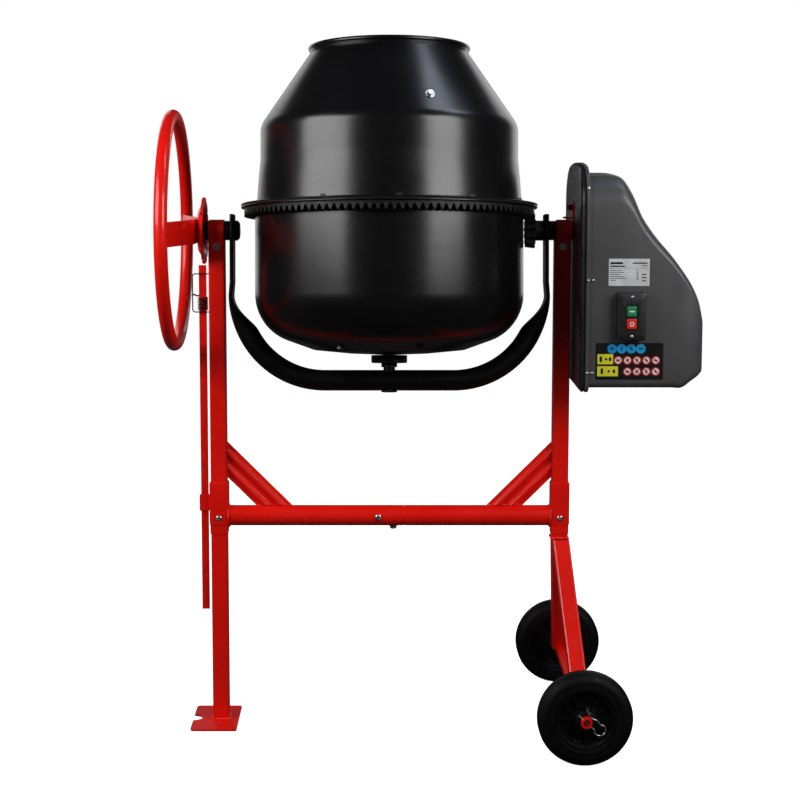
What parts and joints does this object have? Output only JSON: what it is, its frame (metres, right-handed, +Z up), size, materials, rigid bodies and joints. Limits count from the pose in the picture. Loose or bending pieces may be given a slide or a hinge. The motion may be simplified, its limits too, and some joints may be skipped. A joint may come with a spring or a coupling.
{
  "type": "concrete mixer",
  "caption": "Tilting drum concrete mixer on a red tubular stand with handwheel, foot lock, motor housing and transport wheels.",
  "frame": {"origin": "on the floor, in the plane of the two posts, straight below the middle of the tilt axis", "axes": "+X along the tilt axis from the handwheel to the motor housing, +Z up; the switch faces -Y"},
  "size_m": [1.122, 0.6319, 1.4836],
  "materials": {
    "red_paint": "glossy red enamel",
    "drum_enamel": "glossy black enamel",
    "satin_black_paint": "satin black",
    "cast_iron": "painted black, semi matte",
    "machined_steel": "machined",
    "zinc_plate": "bright zinc",
    "spring_steel": "oiled spring steel",
    "charcoal_plastic": "moulded charcoal plastic",
    "switch_plastic": "fine moulded black",
    "rim_plastic": "moulded black plastic",
    "tyre_rubber": "matte rubber",
    "belt_rubber": "ribbed rubber",
    "seal_rubber": "soft rubber",
    "motor_paint": "grey machine paint",
    "start_green": "gloss green",
    "stop_red": "gloss red"
  },
  "bodies": {
    "frame": {"left_post": "red_paint", "right_post": "red_paint", "left_socket": "red_paint", "right_socket": "red_paint", "left_beam": "red_paint", "right_beam": "red_paint", "beam_coupler": "red_paint", "left_brace": "red_paint", "right_brace": "red_paint", "foot_leg": "red_paint", "foot_plate": "red_paint", "wheel_stub": "red_paint", "front_wheel_leg": "red_paint", "back_wheel_leg": "red_paint", "axle": "red_paint", "front_axle_clip": "zinc_plate", "back_axle_clip": "zinc_plate", "left_bearing_tube": "red_paint", "right_bearing_tube": "red_paint", "housing_back": "charcoal_plastic", "housing_cover": "charcoal_plastic", "housing_bracket": "red_paint", "switch_box": "switch_plastic", "motor_bracket": "machined_steel", "motor_body": "motor_paint", "drive_belt": "belt_rubber", "pedal_guide": "red_paint", "spring_keeper": "spring_steel", "lock_spring": "spring_steel"},
    "yoke": {"yoke": "satin_black_paint", "left_trunnion": "satin_black_paint", "trunnion_nut": "satin_black_paint", "right_trunnion": "satin_black_paint", "locking_disc": "red_paint", "handwheel_rim": "red_paint", "handwheel_spoke": "red_paint", "drum_spindle": "machined_steel"},
    "drum": {"lower_drum": "drum_enamel", "upper_drum": "drum_enamel", "flange_seal": "seal_rubber", "ring_gear_half_1": "cast_iron", "ring_gear_half_2": "cast_iron", "drum_hub": "cast_iron", "drum_bearing": "machined_steel", "mixing_blade_1": "drum_enamel", "mixing_blade_2": "drum_enamel"},
    "pinion": {"pinion_gear": "cast_iron", "pinion_shaft": "machined_steel", "drive_pulley": "cast_iron"},
    "motor_rotor": {"motor_shaft": "machined_steel", "motor_pulley": "cast_iron", "motor_fan": "rim_plastic"},
    "lock_bar": {"lock_bar": "red_paint", "spring_pin": "spring_steel"},
    "front_wheel": {"front_tyre": "tyre_rubber", "front_rim": "rim_plastic"},
    "back_wheel": {"back_tyre": "tyre_rubber", "back_rim": "rim_plastic"},
    "start_button": {"start_button": "start_green"},
    "stop_button": {"stop_button": "stop_red"}
  },
  "joints": [
    {"name": "tilt", "type": "hinge", "parent": "frame", "child": "yoke", "pos_m": [0, 0, 1.077], "axis": [1, 0, 0], "range_deg": [-120, 120]},
    {"name": "drum_spin", "type": "hinge", "parent": "yoke", "child": "drum", "pos_m": [0, 0, 1.077], "axis": [0, 0.0993, 0.9951], "continuous": true},
    {"name": "pinion_spin", "type": "hinge", "parent": "yoke", "child": "pinion", "pos_m": [0.3, 0, 1.077], "axis": [1, 0, 0], "continuous": true},
    {"name": "motor_spin", "type": "hinge", "parent": "frame", "child": "motor_rotor", "pos_m": [0.5, 0, 0.87], "axis": [1, 0, 0], "continuous": true},
    {"name": "lock_slide", "type": "slide", "parent": "frame", "child": "lock_bar", "axis": [0, 0, 1], "range_m": [-0.02, 0.006], "stiffness_N_per_m": 800, "springref_m": 0.0069, "deforming": ["lock_spring"]},
    {"name": "front_wheel_spin", "type": "hinge", "parent": "frame", "child": "front_wheel", "pos_m": [0.398, -0.276, 0.0975], "axis": [0, 1, 0], "continuous": true},
    {"name": "back_wheel_spin", "type": "hinge", "parent": "frame", "child": "back_wheel", "pos_m": [0.398, 0.276, 0.0975], "axis": [0, 1, 0], "continuous": true},
    {"name": "start_press", "type": "slide", "parent": "frame", "child": "start_button", "axis": [0, 1, 0], "range_m": [0, 0.003], "stiffness_N_per_m": 600},
    {"name": "stop_press", "type": "slide", "parent": "frame", "child": "stop_button", "axis": [0, 1, 0], "range_m": [0, 0.003], "stiffness_N_per_m": 600}
  ],
  "couplings": [
    {"joint": "pinion_spin", "follows": "drum_spin", "ratio": -9.2308},
    {"joint": "motor_spin", "follows": "drum_spin", "ratio": -73.846}
  ]
}
